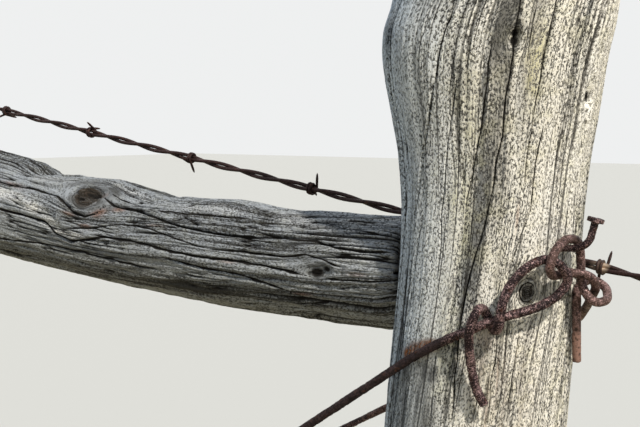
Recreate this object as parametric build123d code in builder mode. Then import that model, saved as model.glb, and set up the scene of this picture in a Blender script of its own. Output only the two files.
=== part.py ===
"""Weathered ranch fence: one braced bay and one line bay of round posts and barbed wire.

Millimetres. X runs along the fence, Y goes through it to the strands' side and Z is up.
The origin is the centre of the brace post's foot. Every log is crooked, so each is given
as a form: rows of a share of its length, then two drifts and a girth in radii of the log.
Whatever lies on a post is placed by the angle round it, a height and a lift off its bark.
"""
from build123d import *
import math
import os

# Bays and posts
braced_bay = 1500.0
line_bay = 1450.0
brace_post_height = 1440.0
brace_post_radius = 57.0
end_post_height = 1570.0
end_post_radius = 68.0
end_post_setback = 8.0
line_post_height = 1040.0
line_post_radius = 50.0
line_post_setback = 18.0
brace_post_form = (
    (0.0, 0.0, 0.0, 1.088), (0.2431, 0.228, 0.035, 1.026), (0.4861, 0.596, 0.105, 0.982),
    (0.7063, 1.025, 0.235, 0.953), (0.7375, 1.086, 0.249, 0.949), (0.766, 1.146, 0.253, 0.937),
    (0.7868, 1.174, 0.249, 0.928), (0.8069, 1.191, 0.251, 0.942), (0.8229, 1.184, 0.260, 0.986),
    (0.8354, 1.177, 0.258, 1.044), (0.8476, 1.174, 0.240, 1.095), (0.8597, 1.172, 0.232, 1.140),
    (0.8715, 1.203, 0.246, 1.167), (0.8819, 1.263, 0.283, 1.137), (0.9097, 1.342, 0.316, 1.102),
    (1.0, 1.474, 0.351, 1.053))
end_post_form = (
    (0.0, 0.0, 0.0, 1.14), (0.1, 0.015, 0.0, 1.11), (0.26, 0.044, 0.0, 1.04),
    (0.45, 0.059, -0.015, 1.0), (0.66, 0.029, -0.029, 0.975), (0.85, -0.044, -0.015, 0.93),
    (1.0, -0.118, 0.0, 0.91))
line_post_form = (
    (0.0, 0.0, 0.0, 1.09), (0.25, -0.1, 0.04, 1.04), (0.55, -0.08, 0.08, 1.0),
    (0.8, 0.06, 0.08, 0.96), (1.0, 0.18, 0.06, 0.92))

# Brace rail, butted into a shallow dap in each post
rail_radius = 36.6
rail_end_height = 1107.5
dap_depth = 6.5
dap_margin = 4.0
rail_form = (
    (0.0, 1.754, -0.109, 1.48), (0.19, 1.563, -0.055, 1.43), (0.40, 1.235, -0.027, 1.34),
    (0.58, 0.989, 0.0, 1.27), (0.691, 0.743, 0.0, 1.21), (0.748, 0.475, 0.0, 1.145),
    (0.806, 0.219, 0.0, 1.075), (0.89, -0.016, 0.0, 1.0), (0.945, -0.014, 0.0, 0.975),
    (1.0, 0.022, 0.0, 0.955))

# Brace wire, a single heavy strand bent to an eye at each end
wire_diameter = 5.0
wire_height = 1100.0
wire_gap = 0.4
foot_loop_height = 140.0
foot_loop_lean = 0.54
leg_sags = ((0.229, 0.0278), (0.616, 0.034))
sag_radius = 4000.0
tail_share = 0.2
shank_share = 0.93
front_eye_route = (
    (-100.8, -5.83, 0.72), (-84.1, -3.77, 0.68), (-73.8, -2.67, 1.35), (-61.3, -1.25, 1.74),
    (-48.1, -0.25, 1.74), (-36.8, 0.35, 1.90), (-26.6, 1.56, 2.30), (-21.2, 3.20, 2.62),
    (-25.8, 4.87, 2.80), (-34.5, 5.95, 2.25), (-45.5, 4.80, 2.28), (-52.6, 2.81, 2.55),
    (-55.7, 0.70, 2.86), (-55.6, -1.83, 2.86), (-57.3, -2.29, 0.64), (-63.1, 0.18, 0.64),
    (-66.2, 0.45, 2.70), (-69.0, -1.88, 2.86), (-68.6, -3.86, 2.10), (-66.9, -6.24, 1.55),
    (-63.4, -8.68, 1.45), (-58.5, -10.36, 1.60))
back_eye_route = (
    (101.0, -9.40, 1.02), (73.0, -6.50, 1.02), (45.0, -3.70, 1.02), (23.5, -1.32, 0.95),
    (1.0, 1.00, 2.40), (-4.5, 2.30, 3.40), (-10.0, 3.70, 3.35), (-18.0, 3.95, 1.40),
    (-28.5, 3.62, 1.65), (-36.4, 5.20, 3.80), (-31.2, 6.90, 2.90), (-20.0, 7.80, 1.70),
    (-10.2, 7.35, 1.70), (-7.8, 4.80, 1.75), (-7.2, 2.25, 1.80), (-8.4, 0.52, 3.60),
    (0.4, 0.62, 4.30), (9.4, 1.80, 3.30), (9.8, 2.60, 1.70), (-0.8, 2.10, 0.66),
    (0.6, -1.80, 0.80), (5.0, -6.95, 0.95))

# Bent nail that pins the back eye to the post
nail_diameter = 4.0
nail_depth = 40.0
nail_head_diameter = 9.0
nail_head_thickness = 2.4
nail_route = ((-14.8, 6.45, 0.0), (-16.6, 6.70, 2.60), (-15.2, 7.40, 3.80), (-13.7, 9.60, 4.05))
hole_clearance = 0.15
hole_end_gap = 0.3

# Barbed strands, each two wires twisted together, drawn here as one round cable
strand_diameter = 5.4
strand_gap = 0.5
strand_over_rail = 161.0
brace_top_strand = 1121.3
line_top_strand = 874.0
strand_shares = (
    (0.2884, 0.2319, 0.2117), (0.5191, 0.4637, 0.4519), (0.7426, 0.7135, 0.7002), (1.0, 1.0, 1.0))
barb_spacing = 127.0
barb_reach = 11.0
barb_wire = 2.0
barb_collar_length = 5.0
barb_collar_wrap = 0.7
barb_turn = 157.0
first_barbs = {"end": 0.42, "line": 0.35}
tie_length = 26.0
tie_wire = 2.7
staple_diameter = 3.6
staple_width = 13.0
staple_leg = 34.0

# Corners of each turn of wire round a whole post
turn_corners = 8


def row_at(form, share):
    """Two drifts and the girth of a log at a share of its length, in radii."""
    for low, high in zip(form, form[1:]):
        if share <= high[0]:
            t = (share - low[0]) / (high[0] - low[0])
            return [a + t * (b - a) for a, b in zip(low[1:], high[1:])]
    return list(form[-1][1:])


class Post:
    """A log standing on its foot, with the places on its bark."""

    def __init__(self, foot_x, foot_y, height, radius, form):
        self.foot = (foot_x, foot_y)
        self.height = height
        self.radius = radius
        self.form = form

    def core(self, z):
        """Centre and radius at a height."""
        across, along, girth = [self.radius * size for size in row_at(self.form, z / self.height)]
        return self.foot[0] + across, self.foot[1] + along, girth

    def spot(self, angle, z, lift):
        """Point at an angle round the post and a lift off its bark."""
        x, y, r = self.core(z)
        a = math.radians(angle)
        return Vector(x + (r + lift) * math.cos(a), y + (r + lift) * math.sin(a), z)


def bend_radii(points, widest, share=0.47):
    """Bend radius at each corner: all that its shorter run has room for, if the bend shows."""
    radii = []
    for a, b, c in zip(points, points[1:], points[2:]):
        turn = math.radians((b - a).get_angle(c - b))
        room = share * min((b - a).length, (c - b).length) / math.tan(turn / 2)
        radii.append(min(room, widest))
    return radii


def bent_wire(points, diameter, widest=300.0):
    """Round wire along straight runs joined by tangent bends."""
    with BuildPart() as piece:
        with BuildLine() as route:
            if len(points) > 2:
                FilletPolyline(*points, radius=bend_radii(points, widest))
            else:
                Line(*points)
        with BuildSketch(Plane(origin=points[0], z_dir=points[1] - points[0])):
            Circle(diameter / 2)
        sweep(path=route.line)
    return piece.part


def round_post(post, holes, daps):
    """Log lofted through its form, with its daps cut and its nail and staple holes bored."""
    with BuildPart() as piece:
        for share, *_ in post.form:
            height = share * post.height
            x, y, radius = post.core(height)
            with BuildSketch(Plane((x, y, height))):
                Circle(radius)
        loft(ruled=True)
        for start, direction, radius, depth in holes:
            with BuildSketch(Plane(origin=start, z_dir=direction)):
                Circle(radius)
            extrude(amount=depth, mode=Mode.SUBTRACT)
        for block in daps:
            add(block, mode=Mode.SUBTRACT)
    return piece.part


def around(post, start_angle, corners, z, lift, lean):
    """Corners of a wire bent round a post, evenly spaced in a leaning ring."""
    step = 360 / turn_corners if corners > 0 else -360 / turn_corners
    points = []
    for k in range(abs(corners)):
        angle = start_angle + (k + 0.5) * step
        height = z + lean * post.core(z)[2] * math.cos(math.radians(angle))
        bark = post.core(height)[2]
        reach = (bark + lift) / math.cos(math.radians(step / 2)) - bark
        points.append(post.spot(angle, height, reach))
    return points


def on_wire(post, rows):
    """Points of a route given as angle, then rise and lift in widths of the brace wire."""
    return [post.spot(angle, wire_height + wire_diameter * rise, wire_diameter * lift)
            for angle, rise, lift in rows]


def dap(post, face_x, height, reach, align):
    """Block that cuts the flat seat of a rail's end into a post."""
    x, y, r = post.core(height)
    with BuildPart() as block:
        with BuildSketch(Plane((face_x, y, height))):
            Rectangle(2 * r, 4 * r, align=(align, Align.CENTER))
        extrude(amount=reach + dap_margin, both=True)
    return block.part


end_post = Post(-braced_bay, end_post_setback, end_post_height, end_post_radius, end_post_form)
brace_post = Post(0, 0, brace_post_height, brace_post_radius, brace_post_form)
line_post = Post(line_bay, line_post_setback, line_post_height, line_post_radius, line_post_form)
pieces = {}


# Brace rail between the daps
rail_left_height = rail_end_height + rail_radius * rail_form[0][1]
rail_left_reach = rail_radius * rail_form[0][3]
rail_right_reach = rail_radius * rail_form[-1][3]
rail_right = brace_post.core(rail_end_height)
rail_left = end_post.core(rail_left_height)
rail_right_x = rail_right[0] - rail_right[2] + dap_depth
rail_left_x = rail_left[0] + rail_left[2] - dap_depth
with BuildPart() as brace_rail:
    for share, rise, drift, girth in rail_form:
        x = rail_left_x + share * (rail_right_x - rail_left_x)
        y = rail_left[1] + share * (rail_right[1] - rail_left[1]) + rail_radius * drift
        z = rail_end_height + rail_radius * rise
        with BuildSketch(Plane(origin=(x, y, z), x_dir=(0, 1, 0), z_dir=(1, 0, 0))):
            Circle(rail_radius * girth)
    loft(ruled=True)
pieces["brace_rail"] = brace_rail.part

# One two-point barb: a collar of wire wound on the strand, with its two cut ends
strand_radius = strand_diameter / 2
with BuildPart() as barb:
    with BuildSketch():
        RegularPolygon(strand_radius + barb_wire * barb_collar_wrap, 8)
    extrude(amount=barb_collar_length / 2, both=True)
    with BuildSketch():
        with BuildLine():
            Polyline((0, barb_reach), (barb_wire / 2, 0), (0, -barb_reach), (-barb_wire / 2, 0),
                     close=True)
        make_face()
    extrude(amount=barb_wire / 2, both=True)

# Barbed strands from post to post, each turned once round the posts at its ends
strand_lift = strand_gap + strand_radius
tie_rise = strand_diameter + tie_wire + strand_gap
end_top_strand = rail_left_height + rail_left_reach + strand_over_rail
staple_places = []
for number, (end_share, brace_share, line_share) in enumerate(strand_shares, start=1):
    first_turn = around(end_post, 90, turn_corners, end_share * end_top_strand, strand_lift, 0)
    last_turn = around(line_post, 90, -turn_corners, line_share * line_top_strand, strand_lift, 0)
    climb = Vector(0, 0, tie_rise / (turn_corners - 1))
    first_turn = [p + climb * k for k, p in enumerate(first_turn)]
    last_turn = [p - climb * k for k, p in enumerate(last_turn)]
    middle = brace_post.spot(90, brace_share * brace_top_strand, strand_lift)
    staple_places.append(middle)
    barbs = []
    for side, post, corner in (("end", end_post, first_turn[0]), ("line", line_post, last_turn[0])):
        run = corner - middle
        for k in range(int(run.length / barb_spacing) - 1):
            place = middle + run.normalized() * barb_spacing * (k + first_barbs[side])
            across = Plane(origin=place, x_dir=Vector(0, 0, 1), z_dir=run)
            barbs.append(across.rotated((0, 0, barb_turn * (k + number))).location * barb.part)
        bark = post.core(corner.Z)[2]
        clear = math.sqrt((bark + tie_wire + strand_lift) ** 2 - bark ** 2)
        half_turn = math.radians(180 / turn_corners)
        coil_start = corner - run.normalized() * (bark * math.tan(half_turn) + clear)
        with BuildPart() as tie:
            with BuildSketch(Plane(origin=coil_start, z_dir=-run)):
                Circle(strand_radius + tie_wire)
                Circle(strand_radius + hole_clearance, mode=Mode.SUBTRACT)
            extrude(amount=tie_length)
        pieces[f"{side}_tie_{number}"] = tie.part
    with BuildPart() as strand:
        add(bent_wire(first_turn[::-1] + [middle] + last_turn, strand_diameter))
        add(barbs)
    pieces[f"barbed_strand_{number}"] = strand.part

# Staples over the strands on the back of the brace post, and the holes they sit in
crown = strand_radius + staple_diameter / 2 + hole_clearance
staple_reach = Vector(0, -staple_leg - crown, 0)
holes = []
for number, place in enumerate(staple_places, start=1):
    legs = [place + Vector(0, crown, up * staple_width / 2) for up in (1, -1)]
    pieces[f"staple_{number}"] = bent_wire([legs[0] + staple_reach, *legs, legs[1] + staple_reach],
                                           staple_diameter)
    for leg in legs:
        holes.append((leg + staple_reach - Vector(0, hole_end_gap, 0), Vector(0, 1, 0),
                      staple_diameter / 2 + hole_clearance, 2 * staple_leg))

# Brace wire, from the front eye down to the end post's foot, round it and back up
front_eye = on_wire(brace_post, front_eye_route)
back_eye = on_wire(brace_post, back_eye_route)
loop = around(end_post, -90, -turn_corners // 2, foot_loop_height, wire_gap + wire_diameter / 2,
              foot_loop_lean)
front_run = loop[0] - front_eye[0]
sags = [front_eye[0] + front_run * share - Vector(0, 0, braced_bay * drop) for share, drop in leg_sags]
front_high = (front_eye[0] + sags[0]) / 2
front_low = (sags[-1] + loop[0]) / 2
back_run = back_eye[0] - loop[-1]
back_low = loop[-1] + back_run * tail_share
back_high = loop[-1] + back_run * shank_share
pieces["brace_wire_front_eye"] = bent_wire([front_high, *front_eye], wire_diameter)
pieces["brace_wire_front_leg"] = bent_wire([front_high, *sags, front_low], wire_diameter, sag_radius)
pieces["brace_wire_foot_loop"] = bent_wire([front_low, *loop, back_low], wire_diameter)
pieces["brace_wire_back_leg"] = bent_wire([back_low, back_high], wire_diameter)
pieces["brace_wire_back_eye"] = bent_wire([back_high, *back_eye], wire_diameter)

# Bent nail through the back eye, and its hole
nail_corners = on_wire(brace_post, nail_route)
nail_way = (nail_corners[1] - nail_corners[0]).normalized()
nail_tip = nail_corners[0] - nail_way * nail_depth
nail_top = nail_corners[-1]
with BuildPart() as nail:
    add(bent_wire([nail_tip, *nail_corners[1:]], nail_diameter))
    with BuildSketch(Plane(origin=nail_top, z_dir=nail_top - nail_corners[-2])):
        Circle(nail_head_diameter / 2)
    extrude(amount=nail_head_thickness)
pieces["bent_nail"] = nail.part
holes.append((nail_tip - nail_way * hole_end_gap, nail_way, nail_diameter / 2 + hole_clearance,
              2 * nail_depth))

# Posts
brace_dap = dap(brace_post, rail_right_x, rail_end_height, rail_right_reach, Align.MAX)
end_dap = dap(end_post, rail_left_x, rail_left_height, rail_left_reach, Align.MIN)
pieces["brace_post"] = round_post(brace_post, holes, [brace_dap])
pieces["end_post"] = round_post(end_post, [], [end_dap])
pieces["line_post"] = round_post(line_post, [], [])

os.makedirs("parts", exist_ok=True)
for name, part in pieces.items():
    part.label = name
    export_step(part, f"parts/{name}.step")
    print(f"{name}: {round(part.volume)} mm3, valid {part.is_valid}")
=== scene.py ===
import math
import bpy
import numpy as np
from bpy.props import FloatProperty, FloatVectorProperty, IntProperty, PointerProperty
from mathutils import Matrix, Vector


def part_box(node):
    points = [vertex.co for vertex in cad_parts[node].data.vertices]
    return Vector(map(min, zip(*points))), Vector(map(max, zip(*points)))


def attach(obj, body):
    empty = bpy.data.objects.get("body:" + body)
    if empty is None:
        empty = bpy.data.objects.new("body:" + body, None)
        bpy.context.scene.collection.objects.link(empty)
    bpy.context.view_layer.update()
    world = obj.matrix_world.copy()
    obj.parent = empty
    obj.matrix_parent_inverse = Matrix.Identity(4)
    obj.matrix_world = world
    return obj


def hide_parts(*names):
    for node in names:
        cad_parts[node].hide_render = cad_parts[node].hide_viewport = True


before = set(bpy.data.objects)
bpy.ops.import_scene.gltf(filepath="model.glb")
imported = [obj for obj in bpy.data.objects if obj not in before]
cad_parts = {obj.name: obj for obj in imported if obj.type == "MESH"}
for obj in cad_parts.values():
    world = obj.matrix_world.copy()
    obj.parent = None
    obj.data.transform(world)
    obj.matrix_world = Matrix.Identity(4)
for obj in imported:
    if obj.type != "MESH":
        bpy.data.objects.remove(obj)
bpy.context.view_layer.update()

bl_info = {
    "name": "Weathered ranch fence",
    "version": (1, 0, 0),
    "blender": (4, 5, 0),
    "location": "View3D > Sidebar > Fence",
    "description": "Dresses a braced wire fence: weathered logs, rusted wire, barbed strands",
    "category": "Object",
}

MM = 0.001

# Long checks of the brace post: width and depth in mm, then their course as (angle round it in
# degrees, height in mm)
POST_CHECKS = (
    (0.62, 3.2, ((-78.2, 1336), (-84.4, 1266), (-83.5, 1256), (-85.4, 1246), (-89, 1229),
        (-94.7, 1210), (-102.1, 1188), (-107.9, 1170), (-113, 1150), (-116.1, 1133),
        (-116.1, 1117), (-119.3, 1096), (-117.7, 1082))),
    (0.45, 1.8, ((-82.5, 1336), (-92.5, 1266), (-93.8, 1256), (-97.1, 1245), (-99.1, 1233),
        (-101.5, 1224))),
    (0.66, 4.2, ((-52.7, 1334), (-53.6, 1264), (-52.1, 1249), (-52.1, 1236), (-54.5, 1220),
        (-56.5, 1205), (-57.2, 1192), (-59.7, 1181), (-61.8, 1165), (-63.4, 1157), (-65.7, 1144),
        (-69.9, 1131), (-72.9, 1118), (-75.1, 1105), (-76.2, 1091), (-76.5, 1074), (-76.6, 1060),
        (-75.6, 1033))),
    (0.42, 1.6, ((-46.1, 1334), (-46, 1264), (-45.1, 1248), (-45.1, 1236), (-45.9, 1228))),
    (0.5, 2.4, ((-33.7, 1335), (-36.4, 1265), (-35.9, 1248), (-37.5, 1232), (-39.1, 1217),
        (-41.1, 1205), (-42.1, 1191), (-43.1, 1178), (-44, 1160))),
    (0.42, 1.5, ((-19, 1318), (-22.1, 1248), (-22.9, 1231), (-24.3, 1214), (-26.7, 1198),
        (-26.5, 1189))),
    (0.55, 2.2, ((-34.2, 1206), (-35.8, 1191), (-36.9, 1182), (-38.1, 1169), (-38.5, 1154),
        (-41.5, 1146), (-45.8, 1134), (-49.1, 1124), (-51.6, 1116))),
    (0.42, 1.5, ((-71.8, 1249), (-72.3, 1239), (-74.2, 1226))),
    (0.62, 2.8, ((-61.6, 1245), (-63.5, 1232), (-64.9, 1217), (-67.8, 1201), (-70, 1189),
        (-73, 1174), (-76.6, 1160), (-77.2, 1152))),
    (0.45, 1.8, ((-78, 1231), (-80.1, 1217), (-83.6, 1203), (-86.6, 1191), (-89.5, 1173),
        (-92.7, 1151), (-92.3, 1139), (-93.3, 1119), (-93.7, 1109))),
    (0.42, 1.3, ((-8.8, 1176), (-10.7, 1169), (-11.1, 1151))),
    (0.5, 2.2, ((-40.7, 1093), (-40.5, 1081), (-41.7, 1072), (-42.3, 1058), (-43.3, 1048),
        (-42.9, 1034))),
    (0.48, 1.6, ((-55.6, 1093), (-53.7, 1079), (-54.3, 1069), (-55.6, 1058), (-54.3, 1035))),
    (0.42, 1.4, ((-64.1, 1082), (-62.9, 1070), (-62.1, 1051), (-63.4, 1034))),
    (0.48, 1.8, ((-90.3, 1079), (-89.7, 1058), (-88.6, 1031))),
    (0.45, 1.6, ((-104.3, 1155), (-109.8, 1136), (-112, 1117), (-111.2, 1098), (-111.5, 1089))),
    (0.42, 1.2, ((-23.2, 1068), (-27.3, 1061), (-28.4, 1045))),
)
# Furrows of the rail, in the same form: (distance along the fence in mm, angle round the rail)
RAIL_FURROWS = (
    (1.2, 5, ((-250, 128.2), (-234, 137), (-211, 136.4), (-187, 141.2), (-164, 145.8),
        (-142, 146.9), (-111, 148.9), (-74, 147.8), (-53, 147.9), (-40, 147.5), (-24, 152.5),
        (-5, 154.7), (19, 152.7))),
    (1.1, 4, ((-470, 150), (-400, 143), (-350, 140.8), (-324, 138.9), (-298, 140.4),
        (-284, 148.2), (-272, 154.8), (-259, 157), (-248, 151), (-244, 141.7), (-237, 136.6))),
    (1.2, 4.6, ((-520, 176), (-430, 171), (-355, 172.3), (-330, 172.6), (-303, 172.9),
        (-294, 179.7), (-286, 184.5), (-272, 187.9), (-252, 181.7), (-235, 175.3), (-213, 174.2),
        (-192, 174.1), (-171, 176), (-153, 176.4), (-137, 177.2), (-112, 176.3), (-79, 179.1),
        (-54, 182.9), (-44, 186))),
    (1, 3.6, ((-35, 189), (-28, 186), (-18, 186.2), (8, 185), (22, 183))),
    (0.8, 2.6, ((-278, 174.6), (-253, 169), (-236, 163.3), (-220, 157.1), (-205, 155.4),
        (-188, 156.3), (-163, 160.9), (-138, 165.8), (-130, 167.1))),
    (1, 3.4, ((-130, 167.1), (-101, 165.7), (-64, 167.3), (-47, 162.7), (-34, 165.5),
        (-22, 171.8), (-12, 173.9))),
    (1, 3.2, ((-176, 183.8), (-154, 186.4), (-137, 189.1), (-107, 191), (-74, 200.6),
        (-63, 205.2), (-54, 218.2))),
    (0.9, 2.6, ((-500, 212), (-430, 208), (-362, 206.1), (-312, 200.7), (-264, 198.8),
        (-220, 201.1), (-179, 200.8))),
    (0.8, 2.4, ((-118, 222.3), (-83, 226.1), (-46, 220.5), (-12, 213.1), (6, 215.6))),
    (0.7, 1.8, ((-47, 122.2), (-22, 129.7), (10, 133.4))),
    (0.7, 1.8, ((-198, 132.8), (-150, 128.2), (-102, 125.2), (-67, 124.1))),
    (0.7, 1.6, ((-246, 121.6), (-231, 127.8), (-210, 130))),
    (0.7, 1.6, ((-244, 111.5), (-226, 118.5), (-193, 122.8))),
    (0.9, 2.6, ((-114, 112), (-92, 114), (-78, 113))),
    (0.9, 2.6, ((-72, 108), (-52, 110), (-36, 109))),
    (0.8, 2.4, ((-32, 114), (-12, 116), (4, 115))),
    (0.8, 2.2, ((-87, 101), (-70, 102), (-56, 101))),
    (0.8, 2.2, ((-24, 104), (-6, 105), (10, 104))),
    (1, 2.6, ((-57, 119), (-38, 121), (-24, 120))),
)
# Knots: (place along, angle, radius in mm, height of the boss in mm, darkness)
POST_KNOTS = (
    (1108.7, -37.6, 6.4, 0.7, 0.8), (1215.7, -3.5, 2.6, -2.5, 1), (1248, -52.6, 2, -3, 1),
    (1243.5, -52.4, 2.3, -3, 1), (905, -20, 9, 2, 0.8), (640, -150, 12, 3.5, 0.8),
    (300, -60, 10, 2.5, 0.8), (1180, 120, 9, 2, 0.8), (760, 70, 11, 3, 0.8),
    (420, 160, 8, 2, 0.8), (1385, 30, 9, 2, 0.8))
RAIL_KNOTS = (
    (-265.5, 132.5, 12.5, 3.5, 1), (-260.5, 126, 4.2, -5, 1), (-272, 136, 2.6, -3.5, 1),
    (-38.5, 181.5, 4.4, -4.5, 1), (-31, 176.5, 2.6, -3, 1), (-620, 205, 12, 3, 0.85),
    (-930, 150, 10, 2.5, 0.85), (-1180, 60, 13, 3, 0.85), (-420, 20, 11, 2.5, 0.85),
    (-760, -40, 9, 2, 0.85))
END_KNOTS = (
    (1290, -70, 12, 3.5, 0.8), (760, 20, 10, 3, 0.8), (430, -120, 13, 3.5, 0.8),
    (980, 140, 11, 3, 0.8))
LINE_KNOTS = (
    (820, -80, 9, 3, 0.8), (520, 60, 10, 3, 0.8), (250, -170, 11, 3, 0.8))
# Marks on the wood: (angle, place along, half width in mm, half length in mm, strength)
# Painted shadows: (-109, 1058), (-95, 1061), (-84, 1074), (-57.6, 1077), (-60, 1088), (-38, 1120)
# and (-28, 1112) darken the wood where the brace wire's shadows fall; (-112, 1036), (-100, 1046)
# and (-96, 1032) are partly painted shade on the lower left, partly darker wood
POST_STREAKS_AND_SHADOWS = (
    (-58, 1242, 6.2, 48, 1.3), (-62.5, 1180, 5, 42, 0.65), (-67, 1130, 5, 26, 0.4),
    (-45.5, 1262, 4.5, 24, 0.7), (-100, 1215, 3.5, 40, 0.4), (-127, 1255, 8, 16, 0.9),
    (-112, 1190, 9, 90, 0.3), (-122, 1090, 8, 70, 0.35), (-96, 1032, 13, 22, 0.9),
    (-52, 1085, 3, 26, 0.35), (-72, 1060, 4, 26, 0.35), (-112, 1036, 16, 34, 1),
    (-100, 1046, 10, 18, 1), (-60, 1081, 7, 9, 0.35), (-66, 1045, 3, 30, 0.6),
    (-62, 1071, 7, 20, 0.55), (-50, 1050, 2.5, 30, 0.5), (-45, 1040, 3, 25, 0.4),
    (-80, 1048, 5, 25, 0.5), (-36, 1060, 2.5, 40, 0.35), (-55, 1120, 2, 22, 0.4),
    (-48.5, 1222, 5, 32, 0.4), (-98, 1263, 11, 10, 0.4), (-109, 1058, 14, 9, 1),
    (-95, 1061, 10, 8, 1.2), (-84, 1074, 6, 7, 0.8), (-57.6, 1077, 4, 8, 0.8),
    (-57.5, 1198, 4.5, 48, 0.55), (-60, 1088, 9, 6, 0.5), (-38, 1120, 6, 5, 0.5),
    (-28, 1112, 4, 7, 0.5))
POST_RUST = (
    (-103, 1073.4, 7.5, 3.8, 2.2), (-110, 1069, 6.5, 3.6, 2.2), (-95.5, 1077, 6, 2.8, 2.2),
    (-106.5, 1071.3, 6, 3.6, 2.2), (-99, 1075.4, 6, 3.2, 2.2), (-92, 1078.6, 5, 2.2, 1.4),
    (-47, 1150, 1, 7, 0.8), (-57, 1052, 0.9, 22, 0.6), (-52, 1064, 0.8, 14, 0.5),
    (-60, 1083, 6, 8, 0.35), (-64, 1066, 10, 14, 0.25), (-50, 1048, 10, 30, 0.16),
    (-35, 1050, 12, 40, 0.13))
POST_PALE = (
    (-90, 1242, 6, 14, 1.4), (-70, 1242, 7, 14, 1.3), (-86, 1196, 2.6, 22, 1.2),
    (-50, 1205, 2.4, 55, 0.9), (-62, 1105, 4, 40, 0.5), (-24, 1160, 16, 90, 0.7),
    (-8, 1190, 14, 80, 0.7), (-93, 1250, 5, 10, 1.2), (-87.5, 1190, 5, 32, 0.4),
    (-79.5, 1170, 5, 26, 0.4), (-70.7, 1204, 4, 20, 0.4), (-15, 1230, 6, 30, 0.4))
POST_LICHEN = (
    (-42, 1235, 6, 22, 1), (-80, 1150, 6.5, 24, 1), (-84, 1080, 5, 30, 0.7),
    (-74, 1212, 5, 26, 0.6))
RAIL_RUST = (
    (140.7, -245.5, 4, 7.5, 1), (158.5, -256, 2.4, 7, 0.7), (138.5, -227, 1.8, 7, 0.5),
    (141.5, -350, 2.4, 14, 0.6), (179, -113.6, 1.8, 9, 0.4), (180, -6, 1.8, 7, 0.5),
    (208.7, -52, 2.2, 8, 0.45), (151, -185, 1.6, 9, 0.35), (147, -276, 2.2, 7, 0.5))
# Painted light among the rail's pale marks: (102, -20) and (165, -8) lift the post's shadow on the
# rail near the post
RAIL_PALE_AND_PAINTED_LIGHT = (
    (154, -363, 5, 14, 1), (153, -343, 5, 16, 1), (157, -319, 5.5, 16, 1), (166, -298, 5, 13, 1),
    (173, -283, 4, 9, 1), (172.5, -266, 3.5, 12, 0.9), (113, -236, 5, 20, 0.6),
    (120, -320, 6, 40, 0.3), (122, -150, 6, 60, 0.3), (102, -20, 26, 62, 1.1),
    (165, -8, 16, 22, 0.35))
# Painted shade among the rail's streaks: (150, 17) in the crevice where the rail meets the post,
# and (129, -245), (135, -230), (138, -206) and (126, -272) round the big knot and along its furrow
RAIL_STREAKS_AND_SHADE = (
    (196, -250, 10, 60, 0.5), (180, -36, 6, 12, 0.8), (215, -100, 12, 120, 0.5),
    (222, -320, 12, 120, 0.5), (150, 17, 30, 5, 0.5), (129, -245, 7, 12, 1.1),
    (135, -230, 3.5, 16, 0.8), (138, -206, 3, 14, 0.6), (126, -272, 13, 26, 0.75),
    (112, -96, 3, 12, 0.9), (108, -55, 3, 10, 0.9), (117, -15, 3, 12, 0.9), (103, -5, 3, 10, 0.8),
    (100, -70, 2.5, 9, 0.8), (121, -40, 2.5, 10, 0.8))
# Humps and hollows of the rail: (place along, angle, length, width, height), in mm
RAIL_HUMPS = (
    (-350, 84, 17, 26, -9.5), (-318, 84, 16, 26, -3.5), (-262, 84, 20, 26, 3),
    (-203, 84, 14, 26, -3), (-140, 94, 26, 24, 5), (-78, 105, 26, 22, -2.2),
    (-330, 158, 34, 7, 3), (-283, 165, 10, 6, 2.5), (-60, 155, 30, 8, 1.5), (16, 200, 7, 30, -4))
# Waving lines that open the bark: width, length, line's width, depth, share open, seed's step
POST_LINES = (
    (6.5, 210, 0.075, 1.7, 0.35, 50), (3.1, 110, 0.085, 1, 0.25, 53),
    (1.7, 60, 0.11, 0.6, 0.3, 56))
RAIL_LINES = (
    (8.5, 110, 0.1, 2.6, 0.35, 60), (4.6, 64, 0.11, 1.9, 0.5, 63), (2.6, 36, 0.13, 1.3, 0.5, 66))
# How each log is carved, in mm and degrees. "fine" is low, high, finest and coarsest row
SHARED = {
    "foot_wear": 40.0, "rim_wear": 2.5, "flat_foot": True, "courses": (), "lines": POST_LINES,
    "slant": math.radians(0.075), "wander": 1.2, "flute": 1.0, "open": 0.75, "sunny": -20.0}
BRACE_POST = {
    **SHARED, "columns": 420, "fine": (1030, 1272, 1.6, 28), "facing": -62.0, "crowding": 0.45,
    "facing_height": 1145.0, "knots": POST_KNOTS, "courses": POST_CHECKS,
    "streak": POST_STREAKS_AND_SHADOWS, "rust": POST_RUST, "pale": POST_PALE, "lichen": POST_LICHEN}
END_POST = {
    **SHARED, "columns": 180, "fine": (900, 1560, 9, 12), "facing": -60.0, "crowding": 0.2,
    "facing_height": 900.0, "knots": END_KNOTS}
LINE_POST = {
    **SHARED, "columns": 160, "fine": (500, 1040, 8, 11), "facing": -60.0, "crowding": 0.2,
    "facing_height": 600.0, "knots": LINE_KNOTS}
BRACE_RAIL = {
    **SHARED, "columns": 300, "fine": (-415, 20, 1.9, 18), "facing": 155.0, "crowding": 0.35,
    "facing_height": -200.0, "knots": RAIL_KNOTS, "courses": RAIL_FURROWS, "lines": RAIL_LINES,
    "slant": 0.0, "wander": 3.5, "flute": 1.3, "rough": 2.3, "flat_foot": False, "foot_wear": 3.0,
    "rim_wear": 1.5, "streak": RAIL_STREAKS_AND_SHADE, "rust": RAIL_RUST, "pale": RAIL_PALE_AND_PAINTED_LIGHT,
    "humps": RAIL_HUMPS, "open": 1.15, "sunny": 120.0}
# Kinds of marks: stains, rust, lichen and pale wood, with painted shade among the streaks and
# painted light among the rail's pale marks
STAINS_AND_PAINTED_LIGHT = ("streak", "rust", "pale", "lichen")
CAP_RINGS, RING_WIDTH = 5, 2.6

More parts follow.
